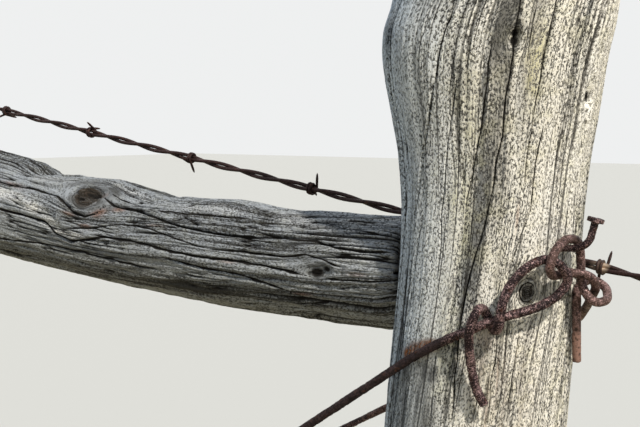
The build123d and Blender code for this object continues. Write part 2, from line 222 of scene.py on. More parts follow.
# Grain's layers: their squeeze along the log, then scale, detail and roughness
GRAIN_LAYERS = {
    "zone": (0.09, 46.0, 3.0, 0.55), "streak": (0.020, 330.0, 4.0, 0.6),
    "fibre": (0.012, 1050.0, 3.0, 0.6), "crumb": (0.55, 1050.0, 3.0, 0.7),
    "hair": (0.007, 620.0, 3.0, 0.55)}
# The streak colour also serves as painted shadow of the brace wire on the post, and as painted
# shade at the rail's joint and round its knot
SPECK, HAIR, STREAK_AND_SHADE = (0.050, 0.045, 0.036), (0.045, 0.042, 0.036), (0.068, 0.066, 0.060)
KNOT_HEART, KNOT_WOOD = (0.050, 0.037, 0.026), (0.075, 0.056, 0.038)
COLLAR = (0.80, 0.62, 0.46)

# Brace wire: each piece and the fineness of its skin, then where its rust changes and where its
# painted shade begins, in m
BRACE_WIRES = {
    "brace_wire_front_eye": 0.00045, "brace_wire_back_eye": 0.00048,
    "brace_wire_front_leg": 0.0010, "brace_wire_foot_loop": 0.0013, "brace_wire_back_leg": 0.0013}
NAIL_SKIN = 0.00036
TAIL_HEIGHT, TAIL_FADE, TAIL_FROM = 1.091, 0.012, 0.112
PAINTED_SHADE_FROM, PAINTED_SHADE_FADE = 0.075, 0.008

# Strands: heights of their bows, start of the twist, first barbs as shares of the spacing
STRAND_BOWS = {1: 0.001, 2: -0.0015, 3: 0.0015, 4: 0.0024}
TWIST_START = -1.93
FIRST_BARBS = (0.42, 0.38)
BARB_TURN = math.radians(157.0)
CLOSE_STRAND, CLOSE_STEP, STRAND_STEP = 4, 0.0045, 0.006
STRAND_GAP, TIE_RISE = 0.0005, 0.0086
TURN_ANGLE, TURN_POINTS, COIL_POINTS = 332, 60, 26
COLLAR_REACH = 0.0034

# Stage
SUN = {"energy": 3.8, "angle": math.radians(2.5), "color": (1.0, 0.955, 0.87)}
SUN_BEARING, SUN_HEIGHT, SUN_DISTANCE = math.radians(-25), math.radians(46), 4
SKY, SKY_STRENGTH, BACKDROP = (0.84, 0.96, 1.14, 1), 0.52, (0.86, 0.87, 0.87, 1)
CAMERA_PLACE, CAMERA_DIP, CAMERA_TURN = (0.347113, -0.515811, 1.2), 5.0575, 37.56
LENS, SENSOR, NEAREST = 56.25, 36.0, 0.01
FLOOR_SIZE = 60


# ---------------------------------------------------------------- Sizes and colours

def length(name, description, default):
    return FloatProperty(name=name, description=description, default=default, unit="LENGTH")


def colour(name, description, *default):
    return FloatVectorProperty(
        name=name, description=description, subtype="COLOR", default=default)


class FenceSizes(bpy.types.PropertyGroup):
    """Sizes of the fence's finish"""
    twist_length: length("Twist", "Length of one full twist of a strand", 0.080)
    strand_wire: length("Strand wire", "Diameter of each of a strand's two wires", 0.0029)
    barb_wire: length("Barb wire", "Diameter of a barb's wire", 0.002)
    barb_reach: length("Barb reach", "From the strand's middle to a barb's point", 0.011)
    barb_spacing: length("Barb spacing", "From one barb to the next", 0.127)
    pit_depth: length("Rust pits", "Depth of the rust pits", 0.00042)
    furrow_depth: FloatProperty(
        name="Furrows", description="Depth of the posts' fine furrows, in mm", default=1.0)
    seed: IntProperty(name="Seed", description="Picks another run of the grain", default=7)


class FenceColours(bpy.types.PropertyGroup):
    """Colours of the fence and its stage"""
    post_pale: colour("Post, bleached", "Sun-bleached wood of the posts", 0.98, 0.92, 0.80)
    post_grey: colour("Post, grey", "Grey weathered wood of the posts", 0.215, 0.213, 0.200)
    post_crest: colour("Post, rubbed", "Palest rubbed wood of the posts", 1.0, 0.97, 0.90)
    # Painted shade: this blue-grey tint is multiplied onto the posts' side away from the sun
    post_shade_tint: colour("Post, weather side", "Tint of the posts' weather side", 0.64, 0.76, 0.95)
    rail_pale: colour("Rail, silver", "Silver ridges of the rail", 0.350, 0.368, 0.384)
    rail_grey: colour("Rail, slate", "Slate-grey wood of the rail", 0.056, 0.057, 0.057)
    # The rail's rubbed colour is also the painted light laid over the post's shadow near the post
    rail_crest: colour("Rail, rubbed", "Palest rubbed wood of the rail", 0.86, 0.83, 0.77)
    # Painted shade: this warm tint is multiplied onto the rail's side away from the sun, its
    # underside
    rail_shade_tint: colour("Rail, underside", "Tint of the rail's underside", 1.0, 0.96, 0.86)
    # Painted shade: near-black of the checks' insides, standing in for their depth; also the
    # knots' dark rings
    check: colour("Checks", "Inside of the cracks", 0.012, 0.010, 0.008)
    lichen: colour("Lichen", "Yellow-green crust on the wood", 0.68, 0.62, 0.32)
    rust_run: colour("Rust run", "Rust washed into the wood", 0.24, 0.070, 0.012)
    rust_dark: colour("Rust, dark", "Old dark rust of the brace wire", 0.017, 0.0095, 0.0105)
    rust_pink: colour("Rust, worn", "Rubbed skin of the brace wire", 0.31, 0.198, 0.192)
    rust_rubbed: colour("Rust, rubbed", "Smooth brown skin of the wire's tail", 0.35, 0.205, 0.160)
    rust_brown: colour("Rust, brown", "Brown rust of the strands", 0.055, 0.028, 0.025)
    floor: colour("Floor", "Studio floor", 0.55, 0.54, 0.50)
    floor_bounce: colour("Floor's bounce", "Dry-grass light off the floor", 0.33, 0.29, 0.19)


# ---------------------------------------------------------------- Shading

class Signal:
    """A socket that takes part in sums written as plain expressions."""

    def __init__(self, finish, socket):
        self.finish = finish
        self.socket = socket

    def _maths(self, operation, first, second):
        return self.finish.node("ShaderNodeMath", {0: first, 1: second}, operation=operation)

    def __add__(self, other):
        return self._maths("ADD", self, other)

    def __sub__(self, other):
        return self._maths("SUBTRACT", self, other)

    def __rsub__(self, other):
        return self._maths("SUBTRACT", other, self)

    def __mul__(self, other):
        return self._maths("MULTIPLY", self, other)


class Finish:
    """One material while it is being mixed."""

    def __init__(self, name):
        self.material = bpy.data.materials.new(name)
        self.material.use_nodes = True
        self.tree = self.material.node_tree
        self.shader = next(n for n in self.tree.nodes if n.type == "BSDF_PRINCIPLED")

    def node(self, kind, values=None, output=0, stops=None, **settings):
        """Any node: its settings first, then a ramp's stops, then its sockets' values or links."""
        made = self.tree.nodes.new(kind)
        for key, value in settings.items():
            setattr(made, key, value)
        if stops:
            ramp = made.color_ramp
            while len(ramp.elements) < len(stops):
                ramp.elements.new(1.0)
            for element, (place, tone) in zip(ramp.elements, stops):
                element.position = place
                element.color = (tone, tone, tone, 1.0)
        for key, value in (values or {}).items():
            self.fill(made.inputs[key], value)
        return Signal(self, made.outputs[output])

    def fill(self, socket, value):
        """Links a signal to a socket, or sets its plain value."""
        if isinstance(value, Signal):
            self.tree.links.new(value.socket, socket)
        else:
            socket.default_value = value

    def blend(self, factor, first, second, how="MIX"):
        """Colour mixed from the first to the second."""
        first, second = (c if isinstance(c, Signal) else (*c, 1.0) for c in (first, second))
        return self.node("ShaderNodeMix", {0: factor, 6: first, 7: second}, output=2,
                         data_type="RGBA", blend_type=how, clamp_factor=True)

    def noise(self, vector, scale, detail=3.0, roughness=0.55):
        return self.node("ShaderNodeTexNoise", {
            "Vector": vector, "Scale": scale, "Detail": detail, "Roughness": roughness})

    def stretched(self, vector, share):
        """Coordinates drawn out along the grain."""
        return self.node("ShaderNodeVectorMath", {0: vector, 1: (1.0, 1.0, share)},
                         operation="MULTIPLY")

    def steps(self, value, *stops):
        """A value passed through a ramp of (place, tone)."""
        return self.node("ShaderNodeValToRGB", {"Fac": value}, stops=stops)

    def attribute(self, name, output="Fac"):
        return self.node("ShaderNodeAttribute", output=output, attribute_name=name)

    def feed(self, height, strength, distance, specular, **inputs):
        """Feeds the shader a bump of this height, and its own sockets (base_color: Base Color)."""
        inputs["normal"] = self.node("ShaderNodeBump", {
            "Strength": strength, "Distance": distance, "Height": height}, output="Normal")
        for key, value in inputs.items():
            self.fill(self.shader.inputs[key.replace("_", " ").title()], value)
        self.shader.inputs["Specular IOR Level"].default_value = specular
        return self.material


def wood_finish(name, kind, colours, crust_share, speckle, heart_edge):
    """Weathered wood: fibres along the grain, specks, checks painted dark as their shade, knots,
    crust and rust runs, and painted shade on the side away from the sun.
    """
    pale, grey, crest, shade_tint = (
        getattr(colours, f"{kind}_{tone}") for tone in ("pale", "grey", "crest", "shade_tint"))
    wood = Finish(name)
    grain = wood.attribute("grain", "Vector")
    zone, streak, fibre, crumb, hair = (
        wood.noise(wood.stretched(grain, share), *settings)
        for share, *settings in GRAIN_LAYERS.values())
    # Pale marks: bleached and rubbed wood, and on the rail also painted light over the post's
    # shadow
    paler = wood.attribute("pale")
    tone = streak * 0.40 + fibre * 0.26 + zone * 0.58 + crumb * 0.36 + paler * 0.10
    base = wood.blend(wood.steps(tone, (0.688, 0.0), (0.796, 1.0)), grey, pale)
    base = wood.blend(paler * wood.steps(crumb, (0.30, 0.15), (0.60, 0.75)), base, crest)
    # Yellow-green crust in patches on the sunny side, and in tufts where it is marked
    sunny = wood.attribute("aspect")
    patches = wood.steps(wood.noise(grain, 90.0, 5.0, 0.7), (0.48, 0.0), (0.62, 1.0))
    tuft = wood.attribute("lichen") * wood.steps(crumb, (0.40, 0.0), (0.58, 1.0))
    base = wood.blend(patches * crust_share * sunny + tuft * 0.8, base, colours.lichen)
    # Black specks crowd on the crusty bands, and hairlines run between the fibres
    crowd = wood.steps(zone * 0.6 + streak * 0.4, (0.40, 1.0), (0.64, 0.5))
    specks = wood.steps(crumb, (0.40, 1.0), (0.48, 0.0)) * crowd
    base = wood.blend(specks * speckle, base, SPECK)
    hair = wood.steps(hair, (0.34, 1.0), (0.40, 0.0))
    base = wood.blend(hair * 0.8, base, HAIR)
    # Dark streak marks, among them painted shadows of the brace wire on the post and painted shade
    # at the rail's joint and round its knot
    base = wood.blend(wood.attribute("streak") * 0.88, base, STREAK_AND_SHADE)
    # Rust runs down the fibres, broken by the crumbs
    run = wood.attribute("rust") * wood.steps(fibre, (0.25, 0.7), (0.50, 1.0)) * wood.steps(
        crumb, (0.42, 0.35), (0.52, 1.0))
    base = wood.blend(run, base, colours.rust_run)
    # Painted shade: the side away from the sun is tinted blue-grey on the posts and warm on the
    # rail
    base = wood.blend(sunny, wood.blend(1.0, base, shade_tint, "MULTIPLY"), base)
    # Knots: a brown heart inside dark rings
    ring = wood.attribute("whorl") * 0.5 + wood.noise(grain, 320.0) * 0.10
    swirl = wood.node("ShaderNodeMath", {0: ring * 95.0 + streak * 9.0}, operation="SINE")
    swirl = swirl * 0.5 + 0.5
    heart = wood.steps(ring, (heart_edge - 0.08, 1.0), (heart_edge, 0.0))
    base = wood.blend(heart * (1.0 - swirl * crumb * 0.9), base, KNOT_HEART)
    rings = wood.steps(ring, (0.36, 0.0), (0.40, 1.0), (0.43, 1.0), (0.46, 0.0), (0.54, 0.0),
                       (0.575, 0.9), (0.61, 0.0))
    base = wood.blend(rings, base, colours.check)
    base = wood.blend(wood.attribute("knot") * 0.6, base, KNOT_WOOD)
    # Checks and cracks are painted darkest: painted shade of their depth
    check = wood.steps(wood.attribute("check"), (0.15, 0.0), (0.80, 1.0))
    base = wood.blend(check, base, colours.check)
    crack = wood.steps(wood.attribute("gap") * 0.5 + 0.5, (0.44, 1.0), (0.56, 0.0))
    base = wood.blend(crack, base, colours.check)
    height = streak * 0.6 + fibre * 0.6 + crumb * 0.8 - specks * 0.8 - hair * 0.9 - crack * 0.8
    return wood.feed(height, 0.95, 0.0010, 0.2, base_color=base, roughness=0.88)


def rust_finish(name, dark, paler, colours, shine):
    """Pitted rust: dark in the pits, glinting on the high skin, with rubbed stretches."""
    rust = Finish(name)
    place = rust.node("ShaderNodeTexCoord", output="Object")
    broad = rust.noise(place, 150.0, 4.0, 0.6)
    grit = rust.noise(place, 1300.0, 3.0, 0.65)
    # Painted shade: toward the left the front brace wire loses its pale skin and most of its shine
    unshaded = 1.0 - rust.attribute("painted_shade") * 0.9
    skin = rust.steps(grit * 0.7 + broad * 0.4, (0.54, 0.0), (0.63, 1.0)) * unshaded
    base = rust.blend(skin, dark, paler)
    bloom = rust.steps(rust.noise(place, 260.0), (0.60, 0.0), (0.74, 1.0))
    base = rust.blend(bloom * 0.22, base, colours.rust_run)
    base = rust.blend(rust.attribute("rubbed"), base, colours.rust_rubbed)
    base = rust.blend(rust.attribute("pit") * 0.9, base, [c * 0.4 for c in dark])
    base = rust.blend(rust.attribute("collar"), base, COLLAR)
    return rust.feed(grit, 0.8, 0.0004, 0.2, base_color=base, metallic=unshaded * shine,
                     roughness=rust.steps(skin, (0.0, 0.62), (1.0, 0.30)))


# ---------------------------------------------------------------- Modelling helpers

def scattered(cells, seed):
    """A settled random value from -1 to 1 for each whole-number cell."""
    x, y, z = (cells[:, k].astype(np.uint64) for k in range(3))
    key = x * np.uint64(73856093) ^ y * np.uint64(19349663) ^ z * np.uint64(83492791)
    key ^= np.uint64(seed * 2654435761 % 4294967296)
    for shift, factor in ((15, 2246822519), (13, 3266489917)):
        key &= np.uint64(0xffffffff)
        key = (key ^ (key >> np.uint64(shift))) * np.uint64(factor)
    key &= np.uint64(0xffffffff)
    return (key ^ (key >> np.uint64(16))).astype(np.float64) / 2147483647.5 - 1.0


def soft_noise(points, seed):
    """Smooth noise from -1 to 1 at rows of x, y, z."""
    corner = np.floor(points).astype(np.int64)
    part = points - corner
    part = part * part * (3 - 2 * part)
    total = np.zeros(len(points))
    for step in np.ndindex(2, 2, 2):
        weight = np.prod(np.where(np.array(step) == 1, part, 1 - part), axis=1)
        total += weight * scattered(corner + np.array(step) + 4096, seed)
    return total


def vectors_of(obj, key):
    """The vertices' positions ("co") or normals ("normal") as rows."""
    values = np.empty(len(obj.data.vertices) * 3)
    obj.data.vertices.foreach_get(key, values)
    return values.reshape(-1, 3)


def set_coordinates(obj, points):
    obj.data.vertices.foreach_set("co", np.asarray(points, float).ravel())
    obj.data.update()


def give_attribute(obj, name, values):
    """A value, or a vector, for each vertex, for the material to read."""
    kind, key = ("FLOAT", "value") if np.ndim(values) == 1 else ("FLOAT_VECTOR", "vector")
    made = obj.data.attributes.new(name, kind, "POINT")
    made.data.foreach_set(key, np.asarray(values, float).ravel())


def select_only(obj):
    bpy.ops.object.select_all(action="DESELECT")
    obj.select_set(True)
    bpy.context.view_layer.objects.active = obj


def merge_doubles(threshold, recalculate=False):
    """Joins the active mesh's doubled vertices, and turns its faces outward if asked."""
    bpy.ops.object.mode_set(mode="EDIT")
    bpy.ops.mesh.select_all(action="SELECT")
    bpy.ops.mesh.remove_doubles(threshold=threshold)
    if recalculate:
        bpy.ops.mesh.normals_make_consistent(inside=False)
    bpy.ops.object.mode_set(mode="OBJECT")


def finish_piece(obj, name, material, nodes):
    """Names a finished piece, gives it its material and stands it in for its CAD nodes."""
    obj.name = obj.data.name = name
    obj.data.materials.clear()
    obj.data.materials.append(material)
    select_only(obj)
    bpy.ops.object.shade_smooth()
    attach(obj, "root")
    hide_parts(*nodes)
    bpy.ops.object.select_all(action="DESELECT")


def turned(angles):
    """Angles in radians brought to -pi .. pi."""
    return (angles + math.pi) % (2 * math.pi) - math.pi


class Log:
    """The centre and radius of a log's CAD solid at any place along it, in mm."""

    def __init__(self, node, axis):
        self.node = node
        self.axis = axis
        self.others = ((1, 2), (2, 0), (0, 1))[axis]
        points = np.round(vectors_of(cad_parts[node], "co") * 1000, 3)
        rows = []
        for place in np.unique(points[:, axis]):
            ring = np.unique(points[points[:, axis] == place][:, self.others], axis=0)
            if len(ring) < 20:
                continue
            a, b = ring.T
            sides = np.stack([2 * a, 2 * b, np.ones_like(a)], 1)
            fit = np.linalg.lstsq(sides, a * a + b * b, rcond=None)[0]
            rows.append((place, fit[0], fit[1], math.sqrt(fit[2] + fit[0] ** 2 + fit[1] ** 2)))
        rows = np.array(rows)
        self.low, self.high = rows[0, 0], rows[-1, 0]
        self.middle = (self.low + self.high) / 2
        # The stations are joined by a smooth line, as a grown stem is
        steps = np.arange(self.low - 60, self.high + 60.1, 3.0)
        table = [np.interp(steps, rows[:, 0], rows[:, k]) for k in (1, 2, 3)]
        window = np.hanning(9)
        window /= window.sum()
        self.steps = steps[4:-4]
        self.table = [np.convolve(column, window, "valid") for column in table]

    def at(self, along):
        """Centre, centre and radius at places along the log."""
        return [np.interp(along, self.steps, column) for column in self.table]


def places_along(low, high, fine_low, fine_high, fine, coarse):
    """Rows along a log, close together on the stretch between fine_low and fine_high."""
    places = [low]
    while places[-1] < high - fine:
        here = places[-1]
        beyond = max(fine_low - here, here - fine_high, 0.0)
        places.append(min(here + min(fine + beyond * 0.2, coarse), high))
    places[-1] = high
    return np.array(places)


class Bark:
    """A log's skin at each of its vertices: how far it lifts, and the marks that it bears."""

    def __init__(self, log, along, angle, facts, seed):
        self.along, self.angle, self.facts, self.seed = along, angle, facts, seed
        self.upright = log.axis == 2
        self.girth = float(np.mean(log.table[2]))
        self.lift, self.knot, self.check = (np.zeros(len(along)) for _ in range(3))
        self.gap, self.whorl = np.full(len(along), 1.0), np.full(len(along), 2.0)
        self.twist = facts["slant"] * (along - facts["facing_height"])
        shift = self.carve_knots()
        self.raise_humps()
        self.warped = angle - self.twist
        wander = facts["wander"] * soft_noise(self.rolled() / (34, 34, 75), seed + 1)
        self.warped = self.warped + (shift + wander) / self.girth
        self.grain = self.rolled()
        self.roughen()
        self.open_lines()
        self.open_courses()

    def rolled(self):
        """Coordinates round the warped log and along it, in mm."""
        return np.stack([self.girth * np.cos(self.warped), self.girth * np.sin(self.warped),
                         self.along], 1)

    def round_from(self, turn):
        """Distance round the log from an angle in degrees."""
        return turned(self.angle - math.radians(turn)) * self.girth

    def layer(self, width, length, number):
        """Noise along the grain, with features of this width and length."""
        return soft_noise(self.grain / (width, width, length), self.seed + number)

    def along_noise(self, length, row, seed):
        """Noise that changes along the log only."""
        still = np.zeros(len(self.along))
        return soft_noise(np.stack([self.along / length, still, still + row], 1), seed)

    def carve_knots(self):
        """Ringed bosses and small holes; returns how far the grain bends round them."""
        shift = np.zeros(len(self.along))
        for place, turn, size, boss, dark in self.facts["knots"]:
            u = self.round_from(turn)
            v = (self.along - place) * 0.55
            spread = u * u + v * v
            bend = u * size ** 2 * 1.15 / (spread + 0.12 * size ** 2)
            shift -= bend * np.clip(2 - np.sqrt(spread) / (3 * size), 0, 1)
            away = np.sqrt(u * u + (self.along - place) ** 2 * 0.75)
            self.lift += boss * np.exp(-(away / (1.8 * size)) ** 2)
            if boss < 0:
                self.check = np.maximum(self.check, np.exp(-(away / size) ** 4))
                continue
            core = np.exp(-(away / size) ** 6)
            rings = np.cos(away * 2 * math.pi / (0.3 * size + 0.6))
            self.lift -= core * (0.35 * boss + 0.5 + 0.5 * rings)
            rim = np.exp(-((away - size * 1.06) / (0.10 * size + 0.25)) ** 2)
            rim += 0.8 * np.exp(-((away - size * 1.42) / (0.08 * size + 0.2)) ** 2)
            self.lift -= rim * 0.9
            self.knot = np.maximum(self.knot, core * dark * 0.6)
            self.whorl = np.minimum(self.whorl, away / size)
        return shift

    def raise_humps(self):
        for place, turn, length, width, rise in self.facts.get("humps", ()):
            away = self.round_from(turn) / width
            self.lift += rise * np.exp(-(away ** 2 + ((self.along - place) / length) ** 2))

    def roughen(self):
        """Broad flutes, and fine furrows on them."""
        self.lift += self.facts["flute"] * (
            1.3 * self.layer(27, 380, 2) + 0.8 * self.layer(12, 190, 3))
        self.lift += self.facts["rough"] * (
            0.45 * self.layer(4.5, 60, 4) + 0.32 * self.layer(1.9, 30, 5)
            + 0.2 * self.layer(1.2, 8, 6))

    def open_lines(self):
        """Checks along the lines where a drawn-out noise changes sign."""
        for width, length, line, depth, gate, number in self.facts["lines"]:
            value = self.layer(width, length, number)
            value += 0.3 * self.layer(width * 0.4, length * 0.5, number + 2)
            cut = np.exp(-(value / line) ** 2)
            cut *= np.clip(self.layer(width * 7, length * 1.3, number + 1) * 4 + gate, 0, 1)
            self.lift -= cut * depth
            self.check = np.maximum(self.check, cut * min(1.0, 0.35 + depth * 0.4))

    def open_courses(self):
        """Checks and furrows along their given courses, with raised lips."""
        for width, depth, course in self.facts["courses"]:
            rows = np.array(sorted(row[::-1] for row in course) if self.upright else course)
            bend = np.radians(np.interp(self.along, rows[:, 0], rows[:, 1]))
            away = turned(self.angle - bend) * self.girth + 0.35 * self.along_noise(9, 0, 11)
            ends = np.clip((self.along - rows[0, 0]) / 12, 0, 1)
            ends = ends * np.clip((rows[-1, 0] - self.along) / 12, 0, 1)
            breadth = 0.75 * ends + 0.25 * self.along_noise(5, width * 90, 13)
            line = np.abs(away) - width * breadth * self.facts["open"]
            self.gap = np.minimum(self.gap, np.where(ends > 0.02, line, 1.0))
            ends *= 0.72 + 0.28 * self.along_noise(14, width * 50, 12)
            cut = np.exp(-(away / width) ** 2) * ends
            lip = np.exp(-((np.abs(away) - 2.2 * width) / width) ** 2) * ends
            self.lift -= cut * depth * 0.6 - 0.35 * lip
            self.check = np.maximum(self.check, cut * 0.35)

    def marks(self):
        """What the material reads at each vertex."""
        # How far each vertex faces the sun: it places the lichen patches and the painted shade
        # tint
        facing = np.cos(self.angle - math.radians(self.facts["sunny"]))
        marks = {"check": self.check, "knot": self.knot, "gap": self.gap, "whorl": self.whorl,
                 "aspect": np.clip((facing + 0.2) / 0.9, 0, 1), "grain": self.grain * MM}
        mottle = np.clip(0.75 + 0.6 * self.layer(2.6, 26, 31), 0, 1)
        # Marks from the tables, painted shadows and painted light among them
        for name in STAINS_AND_PAINTED_LIGHT:
            amount = np.zeros(len(self.along))
            for turn, place, wide, tall, strength in self.facts.get(name, ()):
                u = turned(self.warped + self.twist - math.radians(turn)) * self.girth / wide
                v = (self.along - place) / tall
                amount = np.maximum(amount, strength * np.exp(-(u * u + v * v) ** 1.5))
            marks[name] = np.minimum(amount * mottle, 1)
        return marks


def log_grid(log, facts):
    """A grid to roll round a log; its vertices' places along, shares of the radius, angles."""
    levels = places_along(log.low, log.high, *facts["fine"])
    inner = np.linspace(0, 1, CAP_RINGS + 2)[:-1]
    along = np.concatenate([np.full(len(inner), log.low), levels, np.full(len(inner), log.high)])
    share = np.concatenate([inner, np.ones(len(levels)), inner[::-1]])
    columns = facts["columns"]
    bpy.ops.mesh.primitive_grid_add(
        x_subdivisions=columns, y_subdivisions=len(along) - 1, size=2.0, location=(0, 0, 0))
    flat = (vectors_of(bpy.context.object, "co") + 1) / 2
    row = np.rint(flat[:, 1] * (len(along) - 1)).astype(int)
    turn = 2 * math.pi * (np.rint(flat[:, 0] * columns).astype(int) % columns / columns)
    angle = math.radians(facts["facing"]) + turn - facts["crowding"] * np.sin(turn)
    return bpy.context.object, along[row], share[row], angle


def shape_log(name, log, facts, material, seed):
    """Rolls a grid round a log: rows of carved bark between two ends of ringed end grain."""
    obj, place, part, angle = log_grid(log, facts)
    bark = Bark(log, place, angle, facts, seed)
    lift, marks = bark.lift, bark.marks()
    # The rim is worn round
    from_end = np.minimum(place - log.low + facts["foot_wear"], log.high - place)
    lift -= facts["rim_wear"] * np.exp(-(from_end / facts["rim_wear"]) ** 1.2)
    a, b, radius = log.at(place)
    reach = part * (radius + lift)
    points = np.empty((len(place), 3))
    points[:, log.axis] = place
    points[:, log.others[0]] = a + reach * np.cos(angle)
    points[:, log.others[1]] = b + reach * np.sin(angle)
    # The ends are rough end grain opened by radial checks, but a post's foot is flat
    spokes = np.stack([np.cos(angle) * 4, np.sin(angle) * 4, place], 1)
    radial = np.abs(soft_noise(spokes, seed + 40))
    split = np.exp(-(radial / 0.07) ** 2) * np.clip(part * 3 - 0.4, 0, 1)
    spread = np.stack([reach * np.cos(angle) / 5, reach * np.sin(angle) / 5, place], 1)
    rings = np.sin(reach * 2 * math.pi / RING_WIDTH)
    rough = 0.5 + 0.5 * soft_noise(spread, seed + 41) + 0.35 * rings
    cut = part < 1
    open_end = cut & (place > log.middle) if facts["flat_foot"] else cut
    inward = np.where(place > log.middle, -1.0, 1.0)
    points[:, log.axis] += np.where(open_end, inward * (rough + split * 4.0), 0.0)
    ends = {"check": split, "knot": 0.25 + 0.3 * (0.5 + 0.5 * rings), "gap": 1.0, "whorl": 2.0}
    for key, values in ends.items():
        marks[key] = np.where(cut, values, marks[key])
    set_coordinates(obj, points * MM)
    for key, values in marks.items():
        give_attribute(obj, key, values)
    merge_doubles(1e-7)
    finish_piece(obj, name, material, [log.node])


def skin_of(node, voxel, smoothing):
    """One even skin round a copy of a CAD node."""
    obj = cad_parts[node].copy()
    obj.data = obj.data.copy()
    for key in list(obj.keys()):
        if key.startswith("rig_"):
            del obj[key]
    obj.parent = None
    obj.hide_viewport = obj.hide_render = False
    bpy.context.scene.collection.objects.link(obj)
    select_only(obj)
    merge_doubles(1e-6)
    skin = obj.modifiers.new("Skin", "REMESH")
    skin.mode = "VOXEL"
    skin.voxel_size = voxel
    bpy.ops.object.modifier_apply(modifier=skin.name)
    ease = obj.modifiers.new("Ease", "SMOOTH")
    ease.factor = 0.5
    ease.iterations = smoothing
    bpy.ops.object.modifier_apply(modifier=ease.name)
    return obj


def pit(obj, depth, seed):
    """Pushes rust pits and a scaly unevenness into a skin; returns where its points were."""
    points = vectors_of(obj, "co")
    normals = vectors_of(obj, "normal")
    at = points * 1000
    pits = np.clip(soft_noise(at / 1.15, seed) * 1.9 - 0.35, 0, 1) * 0.9
    pits = np.maximum(pits, np.clip(soft_noise(at / 0.7, seed + 1) * 1.8 - 0.5, 0, 1) * 0.6)
    scale = 0.45 * soft_noise(at / 3.4, seed + 2) + 0.25 * soft_noise(at / 1.6, seed + 3)
    push = depth * (0.25 + scale - pits)
    set_coordinates(obj, points + normals * push[:, None])
    give_attribute(obj, "pit", pits)
    return points


def wires(name, runs, bevel):
    """A mesh of round wires: each run is (points in metres, radius at each point)."""
    curve = bpy.data.curves.new(name, "CURVE")
    curve.dimensions = "3D"
    curve.bevel_depth = 1.0
    curve.bevel_resolution = bevel
    curve.use_fill_caps = True
    curve.resolution_u = 1
    for points, radii in runs:
        spline = curve.splines.new("POLY")
        spline.points.add(len(points) - 1)
        spline.points.foreach_set("co", np.column_stack([points, np.ones(len(points))]).ravel())
        spline.points.foreach_set("radius", np.asarray(radii, float))
    obj = bpy.data.objects.new(name, curve)
    bpy.context.scene.collection.objects.link(obj)
    select_only(obj)
    bpy.ops.object.convert(target="MESH")
    merge_doubles(1e-7, recalculate=True)
    return bpy.context.view_layer.objects.active


def evenly(points, step):
    """Points at even steps along a line of points."""
    points = np.asarray(points, float)
    lengths = np.linalg.norm(np.diff(points, axis=0), axis=1)
    travelled = np.concatenate([[0], np.cumsum(lengths)])
    places = np.linspace(0, travelled[-1], max(2, int(travelled[-1] / step)))
    return point_at(places, travelled, points), places


def point_at(place, places, points):
    """The point, or points, at a place along a line."""
    return np.stack([np.interp(place, places, points[:, k]) for k in range(3)], -1)


def around_line(points):
    """Two unit vectors square to a line at each of its points."""
    way = np.gradient(points, axis=0)
    way /= np.linalg.norm(way, axis=1)[:, None]
    side = np.cross(way, (0.0, 0.0, 1.0))
    side /= np.linalg.norm(side, axis=1)[:, None]
    return side, np.cross(side, way)


def middle_of(node):
    low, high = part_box(node)
    return (np.array(low) + np.array(high)) / 2


class Strand:
    """Course of a strand: once round the end post, past the staple, once round the line post."""

    def __init__(self, number, logs, sizes):
        self.middle = middle_of(f"staple_{number}")
        lift = sizes.strand_wire + STRAND_GAP
        a, b, bark = (v[0] * MM for v in logs["brace_post"].at(np.array([self.middle[2] / MM])))
        self.middle[1] = b + bark + lift
        self.ties, turns = {}, []
        for side, way in (("end", 1), ("line", -1)):
            node = f"{side}_tie_{number}"
            height = middle_of(node)[2]
            angles = np.radians(90 + way * np.linspace(0, TURN_ANGLE, TURN_POINTS))
            rise = way * np.linspace(0, 1, TURN_POINTS) * TIE_RISE
            a, b, bark = (v * MM for v in logs[f"{side}_post"].at((height + rise) / MM))
            reach = bark + lift
            turns.append(np.stack(
                [a + reach * np.cos(angles), b + reach * np.sin(angles), height + rise], 1))
            self.ties[node] = (turns[-1][0], turns[-1][-1])
        corners = np.concatenate([turns[0][::-1], [self.middle], turns[1]])
        self.course, self.places = evenly(
            corners, CLOSE_STEP if number == CLOSE_STRAND else STRAND_STEP)
        # Each strand bows a little on its way to the end post
        away = (self.middle[0] - self.course[:, 0]) * (self.course[:, 1] > 0)
        bow = np.clip(away / 0.05, 0, 1) * np.clip((1.1 - away) / 0.5, 0, 1)
        self.course[:, 2] += STRAND_BOWS[number] * bow * bow * (3 - 2 * bow)
        self.here = self.places[np.argmin(np.linalg.norm(self.course - self.middle, axis=1))]

    def twisted_pair(self, sizes):
        """The strand's two wires, twisted round each other."""
        half = sizes.strand_wire / 2
        side, up = around_line(self.course)
        phase = (self.places - self.here) * 2 * math.pi / sizes.twist_length + TWIST_START
        for turn in (0.0, math.pi):
            offset = np.cos(phase + turn)[:, None] * side + np.sin(phase + turn)[:, None] * up
            yield self.course + offset * half * 1.08, np.full(len(self.course), half)

    def barb_places(self, sizes):
        """Each barb's number on its side, its place and the strand's way there."""
        for way, first, (touch, _) in zip((-1, 1), FIRST_BARBS, self.ties.values()):
            for k in range(int(np.linalg.norm(touch - self.middle) / sizes.barb_spacing) - 1):
                place = self.here + way * sizes.barb_spacing * (k + first)
                behind, spot, ahead = (point_at(place + step, self.places, self.course)
                                       for step in (-0.004, 0.0, 0.004))
                yield k, spot, way * (ahead - behind) / np.linalg.norm(ahead - behind)


# ---------------------------------------------------------------- Pieces

def logs_of_fence():
    return {"brace_post": Log("brace_post", 2), "end_post": Log("end_post", 2),
            "line_post": Log("line_post", 2), "brace_rail": Log("brace_rail", 0)}


